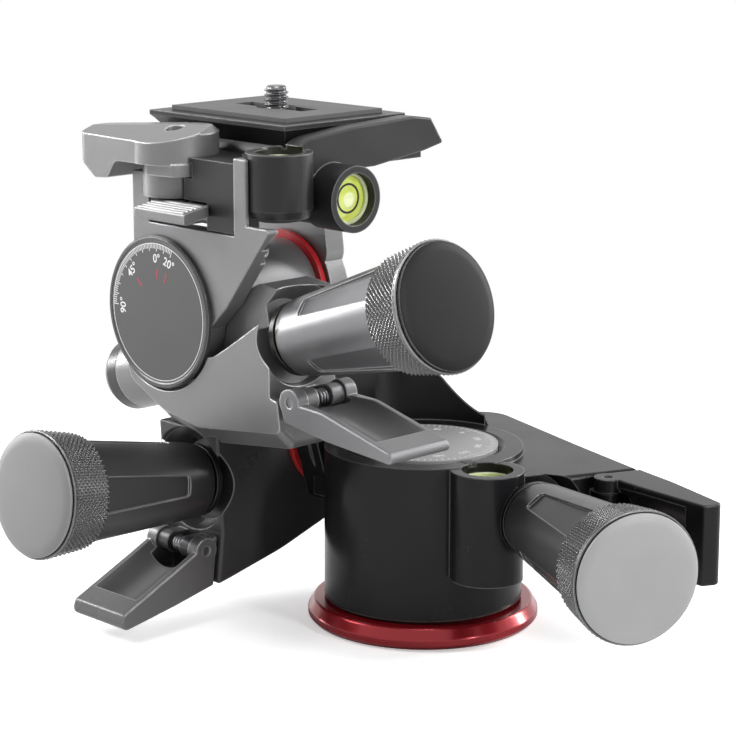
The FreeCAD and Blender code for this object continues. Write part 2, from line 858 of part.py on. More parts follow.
def axle_cap():
    """Nut cover on the axle's rear end."""
    cap = turned([(0, 0), (13.0, 0), (13.0, 3.0), (11.0, 5.0), (0, 5.0)])
    cap.rotate(ORIGIN, X, -90)
    cap.translate(tilt_centre(5.4))
    return cap.cut(rod(tilt_axle_radius, tilt_centre(0), tilt_centre(8.0)))


def tilt_worm_cap():
    """Rounded cover on the far end of the tilt worm's tube."""
    start = far_bearing - 2
    cap = turned([
        (0, start),
        (tube_radius, start),
        (tube_radius, start - 4),
        (tube_radius - 1.2, start - 6.2),
        (tube_radius - 3.8, start - 7.6),
        (0, start - 8),
    ])
    return seated(cap, tilt_frame())


# ---- tilting stage -------------------------------------------------------------------------
arm_front = -44.7
arm_back = -39.3
arm_left = -61.5
rear_disc_start = barrel_end + 1.6 + face_gap
rear_disc_end = 5.0
level_x = -16.0
level_y = -35.0
level_bottom = 106.4
level_top = 123.3
window_left = -55.0
window_right = -22.0
window_bottom = 102.6


def top_bracket():
    """Light casting of the tilting stage, with one arm at each end of the axle."""
    arm = prism([
        (arm_left, receiver_floor, 1),
        (arm_left, 92.0, 3),
        (-62.0, 74.0, 3),
        (-38.0, 72.0, 3),
        (-25.5, 84.0, 2),
        (-9.0, 105.6, 0.8),
        (-18.0, 105.6, 0.4),
        (-18.0, 122.0, 0.4),
        (window_right - 0.5, 122.0, 0.4),
        (window_right - 0.5, receiver_floor, 0.4),
    ], "xz", arm_front, arm_back)
    arm = softened(arm, Y, 0.35)
    hub = rod(dial_radius - 1.2, tilt_centre(arm_front), tilt_centre(arm_back))
    slab = block(arm_left, -27.5, arm_back - 1, rear_disc_end, bracket_floor, receiver_floor)
    rear = prism([
        (-63.0, receiver_floor, 1),
        (-67.2, 86.0, 6),
        (-33.8, 86.0, 6),
        (-38.0, receiver_floor, 1),
    ], "xz", rear_disc_start, rear_disc_end)
    disc = rod(tilt_rear_disc_radius, tilt_centre(rear_disc_start), tilt_centre(rear_disc_end))
    wheel_seat = rod(9.0, tilt_centre(arm_back - 1), tilt_centre(tilt_worm_y - wheel_width / 2))
    body = join([arm, hub, slab, rear, disc, wheel_seat])
    level = at(level_x, level_y, 0)
    knob_sweep = seated(collar_room(), tilt_frame())
    knob_sweep.rotate(tilt_centre(0), Y, tilt_forward_limit)
    screws = []
    for point in receiver_screw_points():
        screws.append(rod(screw_head_radius, point - Z, point + Z * screw_head_height))
        screws.append(rod(screw_radius, point, point + Z * 12))
    return less(body, [
        rod(tilt_axle_radius + running_gap, tilt_centre(-60), tilt_centre(20)),
        block(window_left, window_right, -46, -35.6, window_bottom, 125),
        lever_room(),
        knob_sweep,
        rod(level_radius + face_gap, level + Z * 100, level + Z * 130),
    ] + screws)


def receiver_screw_points():
    return [at(-56.0, -8.0, bracket_floor), at(-36.0, -26.0, bracket_floor), at(-36.0, -8.0, bracket_floor)]


def receiver_screws():
    """Cap screws from under the bracket into the receiver."""
    screws = []
    for point in receiver_screw_points():
        head = rod(screw_head_radius, point, point + Z * screw_head_height)
        shank = rod(screw_radius, point + Z, point + Z * 11)
        socket = rod(1.4, point - Z, point + Z)
        screws.append(join([head, shank]).cut(socket))
    return Part.makeCompound(screws)


def tilt_worm_wheel():
    return seated(wheel(small_wheel_offset, tilt_axle_radius + running_gap), tilt_frame())


# ---- quick release -------------------------------------------------------------------------
catch_axis_y = -41.5
catch_axis_z = 106.6
side_level_y = -19.3
side_level_z = 111.0
side_level_face = -5.0
side_vial_depth = 6.0
hub_bottom = 109.8
jaw_bottom = 115.6
jaw_top = 118.8
jaw_reach = 12.3


def level_cup():
    """Upright level barrel with a rounded bottom."""
    height = level_top - level_bottom
    cup = turned([
        (0, 0),
        (level_radius - 3.0, 0),
        (level_radius - 0.9, 0.9),
        (level_radius, 3.0),
        (level_radius, height),
        (0, height),
    ])
    cup.translate(at(level_x, level_y, level_bottom))
    return cup


def receiver():
    """Quick-release receiver that the camera plate drops into, with both level barrels."""
    left = plate_centre_x - plate_length / 2
    back = plate_centre_y + plate_width / 2
    front = plate_centre_y - plate_width / 2
    deck = plate_foot_height
    floor = block(left - 1, -18, front - 1, back + 3, receiver_floor, deck)
    side_lip = prism([
        (-33.4, receiver_floor, 0.5),
        (-4.0, receiver_floor, 5),
        (14.0, 119.4, 2),
        (21.0, 120.9, 0.6),
        (16.4, 127.7, 0.6),
        (10.0, 128.6, 8),
        (-12.0, 127.6, 60),
        (-28.0, 126.0, 12),
        (-33.4, 122.4, 1.5),
    ], "yz", -19.2, -13.6)
    side_lip = softened(side_lip, X, 0.6)
    front_lip = prism([
        (-31.5, receiver_floor, 0),
        (-14.0, receiver_floor, 0),
        (-14.0, 124.0, 0.5),
        (-22.0, 124.0, 4),
        (-31.5, 121.2, 0.5),
    ], "xz", -33.4, front - 0.7)
    rear_lip = block(left + 4, -18, back + 0.6, back + 4.0, receiver_floor, plate_foot_height + 6.2)
    sill = block(window_left + 0.4, window_right - 0.4, -44.3, -36.0, window_bottom + 0.4, 109.4)
    post = block(-41.2, window_right - 0.4, -44.3, -36.0, window_bottom + 0.4, deck)
    shelf = block(-41.2, window_right - 0.9, -44.3, front, receiver_floor, deck)
    side_barrel = rod(level_radius - 0.8, at(-26.8, side_level_y, side_level_z),
                      at(side_level_face - 8, side_level_y, side_level_z))
    side_mouth = rod(level_radius, at(side_level_face - 11, side_level_y, side_level_z),
                     at(side_level_face, side_level_y, side_level_z))
    web = block(-26.8, -13.6, -26.0, -12.6, side_level_z, receiver_floor + 1)
    body = join([floor, side_lip, front_lip, rear_lip, sill, post, shelf, level_cup(),
                 side_barrel, side_mouth, web])
    level = at(level_x, level_y, 0)
    side_end = at(side_level_face, side_level_y, side_level_z)
    stem_room = block(-42.3, -32.7, -45, -37.4, window_bottom, 109.8)
    screws = [rod(screw_radius, point, point + Z * 11) for point in receiver_screw_points()]
    return less(body, [
        lever_room(),
        rod(lever_pivot_radius, pivot_centre(100), pivot_centre(130)),
        rod(vial_radius, level + Z * (level_top - 5), level + Z * (level_top + 1)),
        rod(vial_radius + 0.4, side_end - X * side_vial_depth, side_end + X),
        stem_room,
        rod(1.5 + running_gap, at(-44.5, catch_axis_y, catch_axis_z), at(-30.5, catch_axis_y, catch_axis_z)),
    ] + screws)


def pivot_centre(z):
    return at(lever_pivot_x, lever_pivot_y, z)


def lever_room():
    """Space that the cam lever's hub, jaw and head turn in."""
    hub = rod(lever_hub_radius + face_gap, pivot_centre(hub_bottom - face_gap), pivot_centre(130))
    jaw = rod(jaw_reach + face_gap, pivot_centre(jaw_bottom - face_gap), pivot_centre(jaw_top + face_gap))
    head = rod(lever_head_radius + face_gap, pivot_centre(jaw_top), pivot_centre(130))
    return join([hub, jaw, head])


def top_level_vial():
    """Round vial in the upright barrel."""
    start = at(level_x, level_y, level_top - 5)
    return rod(vial_radius, start, start + Z * 3.6)


def side_level_vial():
    """Round vial in the sideways barrel."""
    start = at(side_level_face - side_vial_depth, side_level_y, side_level_z)
    return rod(vial_radius + 0.4, start, start + X * 3.6)


def camera_centre(z):
    return at(plate_centre_x, plate_centre_y, z)


def camera_plate():
    """Quick-release plate with tapered sides over a dovetail foot."""
    def ring(inset, height):
        x0 = plate_centre_x - plate_length / 2 + inset
        x1 = plate_centre_x + plate_length / 2 - inset
        y0 = plate_centre_y - plate_width / 2 + inset
        y1 = plate_centre_y + plate_width / 2 - inset
        points = [at(x0, y0, height), at(x1, y0, height), at(x1, y1, height), at(x0, y1, height)]
        return Part.makePolygon(points + points[:1])
    waist = plate_foot_height + 2.2
    levels = [
        (ring(2.5, plate_foot_height), ring(4.0, waist)),
        (ring(4.0, waist), ring(0.8, plate_top - 2.0)),
        (ring(0.8, plate_top - 2.0), ring(0.0, plate_top - 1.2)),
        (ring(0.0, plate_top - 1.2), ring(0.0, plate_top)),
    ]
    body = join([Part.makeLoft([low, high], True, True) for low, high in levels])
    hole = rod(camera_screw_radius + running_gap, camera_centre(100), camera_centre(140))
    head = rod(7.6, camera_centre(100), camera_centre(plate_foot_height + 4.2))
    return body.cut(hole).cut(head)


def rubber_pad():
    """Rubber sheet on the plate, with a slot across the screw."""
    x0 = plate_centre_x - plate_length / 2 + pad_margin
    x1 = plate_centre_x + plate_length / 2 - pad_margin
    y0 = plate_centre_y - plate_width / 2 + pad_margin
    y1 = plate_centre_y + plate_width / 2 - pad_margin
    sheet = block(x0, x1, y0, y1, plate_top, plate_top + pad_thickness)
    slot = block(plate_centre_x - 13, plate_centre_x + 13, plate_centre_y - 3, plate_centre_y + 3,
                 plate_top - 1, plate_top + 3)
    hole = rod(5.2, camera_centre(plate_top - 1), camera_centre(plate_top + 3))
    return sheet.cut(slot.fuse(hole))


def camera_screw():
    """Camera screw with a slotted head under the plate."""
    top = plate_top + pad_thickness + camera_screw_height
    head_low = plate_foot_height + 0.8
    head = rod(7.4, camera_centre(head_low), camera_centre(head_low + 3.2))
    neck = rod(camera_screw_neck_radius, camera_centre(head_low + 1), camera_centre(top - 1))
    shank = rod(camera_screw_radius, camera_centre(top - camera_screw_height), camera_centre(top))
    slot = block(plate_centre_x - 8, plate_centre_x + 8, plate_centre_y - 0.8, plate_centre_y + 0.8,
                 head_low - 1, head_low + 1.2)
    return join([head, neck, shank]).cut(slot)


def quick_lever():
    """Cam lever that clamps the camera plate."""
    px, py = lever_pivot_x, lever_pivot_y
    hub = rod(lever_hub_radius, pivot_centre(hub_bottom), pivot_centre(125.6))
    plan = [
        (px + 2.0, py + lever_head_radius - 0.2, 3),
        (px - 14.0, py + 6.0, 8),
        (px - 29.0, py + 1.0, 3),
        (px - 26.0, py - 10.4, 3),
        (px + 2.0, py - lever_head_radius + 0.2, 3),
    ]
    side = [
        (px - 31.0, 125.4, 1),
        (px - 31.0, 121.0, 4),
        (px - 19.5, 113.2, 1.5),
        (px - 14.5, 113.6, 1),
        (px - 11.0, 118.4, 2),
        (px + 12.0, 118.4, 1),
        (px + 12.0, 127.8, 0.8),
        (px - 12.0, 126.6, 20),
    ]
    head = rod(lever_head_radius, pivot_centre(100), pivot_centre(140))
    arm = join([prism(plan, "xy", 100, 140), head]).common(prism(side, "xz", py - 20, py + 20))
    slope = prism([
        (py - 13, 123.6, 0),
        (py + 3, 127.5, 0),
        (py + 13, 128.2, 0),
        (py + 13, 140, 0),
        (py - 13, 140, 0),
    ], "yz", px - 40, px + 40)
    jaw = prism([
        (px - 1.0, py - 9.5, 1),
        (px + 9.0, py - 8.0, 1),
        (px + 11.5, py - 2.0, 1),
        (px + 11.5, py + 4.0, 1),
        (px - 1.0, py + 4.0, 1),
    ], "xy", jaw_bottom, jaw_top)
    rim = taper(lever_head_radius + 0.7, lever_head_radius - 5.0, pivot_centre(125.4), pivot_centre(130.3))
    crown = rod(lever_head_radius + 3, pivot_centre(125.4), pivot_centre(130.3)).cut(rim)
    beside_plate = block(px - 6, px + 20, py - 1, py + 20, 100, 140)
    body = join([less(arm, [slope, crown.common(beside_plate)]), hub.cut(slope), jaw])
    return body.cut(rod(lever_pivot_radius + running_gap, pivot_centre(100), pivot_centre(140)))


def lever_pivot():
    """Shoulder screw of the cam lever."""
    return rod(lever_pivot_radius, pivot_centre(window_bottom + 0.9), pivot_centre(125.8))


def safety_catch():
    """Ribbed catch under the cam lever, on its own trunnions."""
    plate = prism([
        (-53.0, 104.9, 0.8),
        (-44.9, 106.5, 0),
        (-41.5, 106.0, 0),
        (-41.5, 108.4, 0),
        (-44.9, 109.3, 0),
        (-53.0, 107.9, 0.8),
    ], "yz", -50.6, -31.4)
    narrow = block(-41.8, -33.2, -46.0, -36.0, 100, 112)
    wide = block(-50.7, -31.3, -54.0, -44.9, 100, 112)
    body = plate.common(join([narrow, wide]))
    trunnion = rod(1.5, at(-44.3, catch_axis_y, catch_axis_z), at(-30.7, catch_axis_y, catch_axis_z))
    knuckle = rod(2.6, at(-41.8, catch_axis_y, catch_axis_z), at(-33.2, catch_axis_y, catch_axis_z))
    ribs = [rod(0.35, at(-49.8, y, 108.4 + (y + 50) * 0.17), at(-32.2, y, 108.4 + (y + 50) * 0.17))
            for y in (-52.0, -50.6, -49.2, -47.8, -46.4)]
    return join([body, trunnion, knuckle] + ribs)


NODES = {
    "base_disc": base_disc,
    "base_column": base_column,
    "thread_insert": thread_insert,
    "base_screws": base_screws,
    "pan_friction_washer": pan_washer,
    "pan_worm_wheel": pan_worm_wheel,
    "pan_scale_disc": pan_scale_disc,
    "pan_housing": pan_housing,
    "pan_level_vial": pan_level_vial,
    "pan_index": pan_index,
    "roll_pivot_shaft": roll_shaft,
    "roll_worm_wheel": roll_worm_wheel,
    "roll_friction_ring": roll_ring,
    "roll_housing": roll_housing,
    "roll_cover": roll_cover,
    "mid_frame": mid_frame,
    "frame_screws": frame_screws,
    "tilt_axle": tilt_axle,
    "tilt_dial": tilt_dial,
    "tilt_friction_ring": tilt_ring,
    "axle_cap": axle_cap,
    "tilt_worm_cap": tilt_worm_cap,
    "top_bracket": top_bracket,
    "tilt_worm_wheel": tilt_worm_wheel,
    "receiver": receiver,
    "receiver_screws": receiver_screws,
    "top_level_vial": top_level_vial,
    "side_level_vial": side_level_vial,
    "quick_release_pivot": lever_pivot,
    "camera_plate": camera_plate,
    "rubber_pad": rubber_pad,
    "camera_screw": camera_screw,
    "quick_release_lever": quick_lever,
    "safety_catch": safety_catch,
}

MODULES = {
    "pan": (pan_frame(), pan_lever, 36.0),
    "roll": (roll_frame(), roll_lever, 6.0),
    "tilt": (tilt_frame(), tilt_lever, 47.0),
}


def module_nodes():
    """Pieces that each of the three gear modules has."""
    made = {}
    for name, (frame, lever, phase) in MODULES.items():
        lever_frame = lever.frame(frame)
        made[f"{name}_worm"] = seated(worm(), frame)
        made[f"{name}_worm_bushes"] = seated(bushes(), frame)
        made[f"{name}_knob_body"] = seated(knob_body(phase), frame)
        made[f"{name}_knob_grip"] = seated(knob_grip(), frame)
        made[f"{name}_knob_cap"] = seated(knob_cap(), frame)
        made[f"{name}_lever_pin"] = seated(lever.pin(module_half_width - 0.4, lever_pin_radius), lever_frame)
        made[f"{name}_lever_spring"] = seated(lever.spring(), lever_frame)
        made[f"{name}_lever"] = seated(lever.blade(), lever_frame)
    return made


os.makedirs("parts", exist_ok=True)
shapes = {name: make() for name, make in NODES.items()}
shapes.update(module_nodes())
for name, shape in shapes.items():
    shape.exportStep(f"parts/{name}.step")
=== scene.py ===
"""Looks of a geared tripod head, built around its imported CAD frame."""

import math

import bmesh
import bpy
from mathutils import Matrix, Vector


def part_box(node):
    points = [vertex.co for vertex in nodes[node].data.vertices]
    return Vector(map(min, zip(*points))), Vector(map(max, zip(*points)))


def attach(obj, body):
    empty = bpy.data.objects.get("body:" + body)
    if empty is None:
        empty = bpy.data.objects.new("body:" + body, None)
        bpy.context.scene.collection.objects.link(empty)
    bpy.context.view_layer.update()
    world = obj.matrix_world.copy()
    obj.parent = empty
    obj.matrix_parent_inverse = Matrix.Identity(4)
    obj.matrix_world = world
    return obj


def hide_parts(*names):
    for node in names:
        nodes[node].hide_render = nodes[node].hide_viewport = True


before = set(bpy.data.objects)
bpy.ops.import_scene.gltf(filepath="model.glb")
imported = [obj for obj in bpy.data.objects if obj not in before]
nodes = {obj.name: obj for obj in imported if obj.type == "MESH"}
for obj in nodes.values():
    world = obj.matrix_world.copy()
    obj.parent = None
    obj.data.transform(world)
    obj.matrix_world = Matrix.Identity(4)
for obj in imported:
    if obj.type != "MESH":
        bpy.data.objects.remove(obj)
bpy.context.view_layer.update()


# ---- Camera ------------------------------------------------------------------------------
# A long lens a little above the head, looking across the tilt dial and the upper knob.
# The picture is square, so the lens covers the same angle both ways.
mm = 0.001
camera_place = Vector((418.10, -430.27, 199.68)) * mm
camera_target = Vector((-20.05, -0.42, 62.87)) * mm
camera_lens = bpy.data.cameras.new("camera")
camera_lens.sensor_width = 36.0
camera_lens.lens = 117.34
camera_lens.clip_start = 0.05
camera_lens.clip_end = 20.0
camera = bpy.data.objects.new("camera", camera_lens)
camera.location = camera_place
camera.rotation_mode = "QUATERNION"
camera.rotation_quaternion = (camera_target - camera_place).to_track_quat("-Z", "Y")
bpy.context.scene.collection.objects.link(camera)
bpy.context.scene.camera = camera
bpy.context.scene.view_settings.view_transform = "Standard"


# ---- Studio ------------------------------------------------------------------------------
# White surroundings, which metal and glass see as well, over a pale matt floor that
# fades into them. Soft lamps: high at the left, upright at the right, above, and two behind.
world = bpy.data.worlds.new("studio")
bpy.context.scene.world = world
world.use_nodes = True
tree = world.node_tree
tree.nodes.clear()
seen = tree.nodes.new("ShaderNodeLightPath")
either = tree.nodes.new("ShaderNodeMath")
either.operation = "MAXIMUM"
tree.links.new(seen.outputs["Is Camera Ray"], either.inputs[0])
tree.links.new(seen.outputs["Is Transmission Ray"], either.inputs[1])
shiny = tree.nodes.new("ShaderNodeMath")
shiny.operation = "MAXIMUM"
tree.links.new(either.outputs[0], shiny.inputs[0])
tree.links.new(seen.outputs["Is Glossy Ray"], shiny.inputs[1])
ambient = tree.nodes.new("ShaderNodeBackground")
ambient.inputs["Color"].default_value = (1, 1, 1, 1)
ambient.inputs["Strength"].default_value = 0.30
white = tree.nodes.new("ShaderNodeBackground")
white.inputs["Color"].default_value = (1, 1, 1, 1)
white.inputs["Strength"].default_value = 1.0
choice = tree.nodes.new("ShaderNodeMixShader")
tree.links.new(shiny.outputs[0], choice.inputs[0])
tree.links.new(ambient.outputs[0], choice.inputs[1])
tree.links.new(white.outputs[0], choice.inputs[2])
out = tree.nodes.new("ShaderNodeOutputWorld")
tree.links.new(choice.outputs[0], out.inputs["Surface"])


lamps_aim = Vector((-0.02, 0, 0.07))


def studio_lamp(name, place, width, height, power):
    """Soft lamp that faces the head."""
    light = bpy.data.lights.new(name, "AREA")
    light.shape = "RECTANGLE"
    light.size = width
    light.size_y = height
    light.energy = power
    lamp = bpy.data.objects.new(name, light)
    lamp.location = Vector(place)
    lamp.rotation_mode = "QUATERNION"
    lamp.rotation_quaternion = (lamps_aim - lamp.location).to_track_quat("-Z", "Y")
    bpy.context.scene.collection.objects.link(lamp)


studio_lamp("lamp_left", (-0.75, -0.75, 0.9), 0.35, 0.5, 11.0)
studio_lamp("lamp_right", (1.0, 0.05, 0.5), 0.16, 0.6, 8.0)
studio_lamp("rim_left", (-1.05, -0.38, 0.45), 0.16, 0.8, 12.0)
studio_lamp("rim_right", (0.37, 1.05, 0.5), 0.2, 0.8, 12.0)
studio_lamp("lamp_top", (0.1, -0.1, 1.1), 0.4, 0.4, 4.0)

floor_half_size, floor_drop, fade_start, fade_end = 6.0, 0.0002, 0.12, 0.35
ground = bmesh.new()
bmesh.ops.create_grid(ground, x_segments=2, y_segments=2, size=floor_half_size)
floor_mesh = bpy.data.meshes.new("floor")
ground.to_mesh(floor_mesh)
ground.free()
floor = bpy.data.objects.new("floor", floor_mesh)
floor.location.z = -floor_drop
bpy.context.scene.collection.objects.link(floor)
floor_paint = bpy.data.materials.new("floor_paint")
floor_paint.use_nodes = True
tree = floor_paint.node_tree
shader = tree.nodes["Principled BSDF"]
shader.inputs["Base Color"].default_value = (0.82, 0.82, 0.82, 1)
shader.inputs["Roughness"].default_value = 1.0
shader.inputs["Specular IOR Level"].default_value = 0.0
glow = tree.nodes.new("ShaderNodeEmission")
glow.inputs["Color"].default_value = (1, 1, 1, 1)
seen = tree.nodes.new("ShaderNodeLightPath")
strength = tree.nodes.new("ShaderNodeMath")
strength.operation = "MULTIPLY"
strength.inputs[1].default_value = 0.45
tree.links.new(seen.outputs["Is Camera Ray"], strength.inputs[0])
tree.links.new(strength.outputs[0], glow.inputs["Strength"])
total = tree.nodes.new("ShaderNodeAddShader")
tree.links.new(shader.outputs[0], total.inputs[0])
tree.links.new(glow.outputs[0], total.inputs[1])
place = tree.nodes.new("ShaderNodeTexCoord")
reach = tree.nodes.new("ShaderNodeVectorMath")
reach.operation = "LENGTH"
tree.links.new(place.outputs["Object"], reach.inputs[0])
fade = tree.nodes.new("ShaderNodeMapRange")
fade.inputs["From Min"].default_value = fade_start
fade.inputs["From Max"].default_value = fade_end
tree.links.new(reach.outputs["Value"], fade.inputs["Value"])
edge_white = tree.nodes.new("ShaderNodeEmission")
edge_white.inputs["Color"].default_value = (1, 1, 1, 1)
edge_white.inputs["Strength"].default_value = 1.0
both = tree.nodes.new("ShaderNodeMath")
both.operation = "MULTIPLY"
tree.links.new(seen.outputs["Is Camera Ray"], both.inputs[0])
tree.links.new(fade.outputs[0], both.inputs[1])
blend = tree.nodes.new("ShaderNodeMixShader")
tree.links.new(both.outputs[0], blend.inputs[0])
tree.links.new(total.outputs[0], blend.inputs[1])
tree.links.new(edge_white.outputs[0], blend.inputs[2])
tree.links.new(blend.outputs[0], tree.nodes["Material Output"].inputs["Surface"])
floor_mesh.materials.append(floor_paint)


# ---- Base disc ---------------------------------------------------------------------------
# The round foot that screws down on the tripod: turned aluminium, anodised deep red and
# polished, with a lip that catches the light. Three screws hold it to the column.
def rounded_edges():
    """Node group: softens sharp edges in the shading and says where they are."""
    group = bpy.data.node_groups.new("rounded_edges", "ShaderNodeTree")
    face = group.interface
    face.new_socket("Radius", in_out="INPUT", socket_type="NodeSocketFloat")
    face.new_socket("Edge", in_out="OUTPUT", socket_type="NodeSocketFloat")
    face.new_socket("Normal", in_out="OUTPUT", socket_type="NodeSocketVector")
    start = group.nodes.new("NodeGroupInput")
    end = group.nodes.new("NodeGroupOutput")
    bevel = group.nodes.new("ShaderNodeBevel")
    bevel.samples = 4
    group.links.new(start.outputs["Radius"], bevel.inputs["Radius"])
    shape = group.nodes.new("ShaderNodeNewGeometry")
    dot = group.nodes.new("ShaderNodeVectorMath")
    dot.operation = "DOT_PRODUCT"
    group.links.new(bevel.outputs[0], dot.inputs[0])
    group.links.new(shape.outputs["Normal"], dot.inputs[1])
    mask = group.nodes.new("ShaderNodeMapRange")
    mask.inputs["From Min"].default_value = 0.995
    mask.inputs["From Max"].default_value = 0.85
    group.links.new(dot.outputs["Value"], mask.inputs["Value"])
    group.links.new(mask.outputs[0], end.inputs["Edge"])
    group.links.new(bevel.outputs[0], end.inputs["Normal"])
    return group


def surface_grain():
    """Node group: fine grain for the relief, and slow drifts of gloss and colour."""
    group = bpy.data.node_groups.new("surface_grain", "ShaderNodeTree")
    face = group.interface
    for name in ("Grain Size", "Gloss Low", "Gloss High"):
        face.new_socket(name, in_out="INPUT", socket_type="NodeSocketFloat")
    for name in ("Grain", "Gloss", "Drift"):
        face.new_socket(name, in_out="OUTPUT", socket_type="NodeSocketFloat")
    start = group.nodes.new("NodeGroupInput")
    end = group.nodes.new("NodeGroupOutput")
    place = group.nodes.new("ShaderNodeTexCoord")
    fine = group.nodes.new("ShaderNodeTexNoise")
    fine.inputs["Detail"].default_value = 3.0
    group.links.new(place.outputs["Object"], fine.inputs["Vector"])
    group.links.new(start.outputs["Grain Size"], fine.inputs["Scale"])
    slow = group.nodes.new("ShaderNodeTexNoise")
    slow.inputs["Scale"].default_value = 60.0
    slow.inputs["Detail"].default_value = 4.0
    group.links.new(place.outputs["Object"], slow.inputs["Vector"])
    gloss = group.nodes.new("ShaderNodeMapRange")
    gloss.inputs["From Min"].default_value = 0.3
    gloss.inputs["From Max"].default_value = 0.7
    group.links.new(slow.outputs["Fac"], gloss.inputs["Value"])
    group.links.new(start.outputs["Gloss Low"], gloss.inputs["To Min"])
    group.links.new(start.outputs["Gloss High"], gloss.inputs["To Max"])
    group.links.new(fine.outputs["Fac"], end.inputs["Grain"])
    group.links.new(gloss.outputs[0], end.inputs["Gloss"])
    group.links.new(slow.outputs["Fac"], end.inputs["Drift"])
    return group


edge_group = rounded_edges()
grain_group = surface_grain()


def coated_metal(name, colour, edge_wear_highlight, metallic, gloss, grain_size, grain_depth, edge_radius,
                 coat=0.0, specular=0.5):
    """Painted, anodised or moulded finish: grain, drifting gloss, and edges given a lighter
    colour that is partly rubbed wear and partly painted highlight.
    """
    colour_drift, least_wear_highlight, wear_highlight_offset = 0.12, 0.35, 0.05
    paint = bpy.data.materials.new(name)
    paint.use_nodes = True
    tree = paint.node_tree
    shader = tree.nodes["Principled BSDF"]
    shader.inputs["Metallic"].default_value = metallic
    shader.inputs["Coat Weight"].default_value = coat
    shader.inputs["Coat Roughness"].default_value = 0.12
    shader.inputs["Specular IOR Level"].default_value = specular
    grain = tree.nodes.new("ShaderNodeGroup")
    grain.node_tree = grain_group
    grain.inputs["Grain Size"].default_value = grain_size
    grain.inputs["Gloss Low"].default_value = gloss[0]
    grain.inputs["Gloss High"].default_value = gloss[1]
    edge = tree.nodes.new("ShaderNodeGroup")
    edge.node_tree = edge_group
    edge.inputs["Radius"].default_value = edge_radius
    drift = tree.nodes.new("ShaderNodeMix")
    drift.data_type = "RGBA"
    drift.inputs["A"].default_value = (*[c * (1 - colour_drift) for c in colour], 1)
    drift.inputs["B"].default_value = (*[min(c * (1 + colour_drift), 1) for c in colour], 1)
    tree.links.new(grain.outputs["Drift"], drift.inputs["Factor"])
    # Sharp edges take the lighter edge colour: partly rubbed wear, partly a painted highlight
    # along the edges.
    wear_highlight_mix = tree.nodes.new("ShaderNodeMix")
    wear_highlight_mix.data_type = "RGBA"
    wear_highlight_mix.inputs["B"].default_value = (*edge_wear_highlight, 1)
    amount = tree.nodes.new("ShaderNodeMath")
    amount.operation = "MULTIPLY_ADD"
    amount.inputs[2].default_value = -wear_highlight_offset
    tree.links.new(edge.outputs["Edge"], amount.inputs[0])
    patch = tree.nodes.new("ShaderNodeMath")
    patch.operation = "ADD"
    patch.inputs[1].default_value = least_wear_highlight
    tree.links.new(grain.outputs["Drift"], patch.inputs[0])
    tree.links.new(patch.outputs[0], amount.inputs[1])
    amount.use_clamp = True
    tree.links.new(amount.outputs[0], wear_highlight_mix.inputs["Factor"])
    tree.links.new(drift.outputs["Result"], wear_highlight_mix.inputs["A"])
    tree.links.new(wear_highlight_mix.outputs["Result"], shader.inputs["Base Color"])
    tree.links.new(grain.outputs["Gloss"], shader.inputs["Roughness"])
    relief = tree.nodes.new("ShaderNodeBump")
    relief.inputs["Strength"].default_value = 1.0
    relief.inputs["Distance"].default_value = grain_depth
    tree.links.new(grain.outputs["Grain"], relief.inputs["Height"])
    tree.links.new(edge.outputs["Normal"], relief.inputs["Normal"])
    tree.links.new(relief.outputs[0], shader.inputs["Normal"])
    return paint


def finish_node(name, paint):
    """Gives a CAD node its finish."""
    mesh = nodes[name].data
    mesh.materials.clear()
    mesh.materials.append(paint)


red_anodised = coated_metal(
    "red_anodised", colour=(0.28, 0.006, 0.012), edge_wear_highlight=(0.7, 0.1, 0.1), metallic=0.5,
    gloss=(0.16, 0.24), grain_size=2500.0, grain_depth=2e-6, edge_radius=0.0005, coat=0.3,
)
finish_node("base_disc", red_anodised)
turned_steel = coated_metal(
    "turned_steel", colour=(0.42, 0.42, 0.43), edge_wear_highlight=(0.8, 0.8, 0.8), metallic=1.0,
    gloss=(0.22, 0.34), grain_size=1800.0, grain_depth=4e-6, edge_radius=0.00015,
)
for name in ("base_column", "thread_insert", "base_screws"):
    finish_node(name, turned_steel)


# ---- Panning stage -----------------------------------------------------------------------
# One glossy black casting that turns on the column. It carries the pan worm, the round
# level and the upright with the roll pivot.
pan_black = coated_metal(
    "pan_black", colour=(0.009, 0.009, 0.01), edge_wear_highlight=(0.22, 0.22, 0.22), metallic=0.0,
    gloss=(0.2, 0.28), grain_size=1600.0, grain_depth=5e-6, edge_radius=0.0006, specular=0.17,
)
finish_node("pan_housing", pan_black)
moulded_black = coated_metal(
    "moulded_black", colour=(0.02, 0.02, 0.021), edge_wear_highlight=(0.08, 0.08, 0.08), metallic=0.0,
    gloss=(0.42, 0.55), grain_size=1400.0, grain_depth=1.2e-5, edge_radius=0.0003,
)
for name in ("pan_index", "pan_friction_washer"):
    finish_node(name, moulded_black)


# ---- Pan scale ---------------------------------------------------------------------------
# Matt grey aluminium disc fixed to the column's top, with its degree marks and plain
# numbers printed in white just inside the rim.
scale_grey = coated_metal(
    "scale_grey", colour=(0.32, 0.32, 0.325), edge_wear_highlight=(0.4, 0.4, 0.4), metallic=0.4,
    gloss=(0.4, 0.5), grain_size=1800.0, grain_depth=1e-5, edge_radius=0.0003,
)
finish_node("pan_scale_disc", scale_grey)


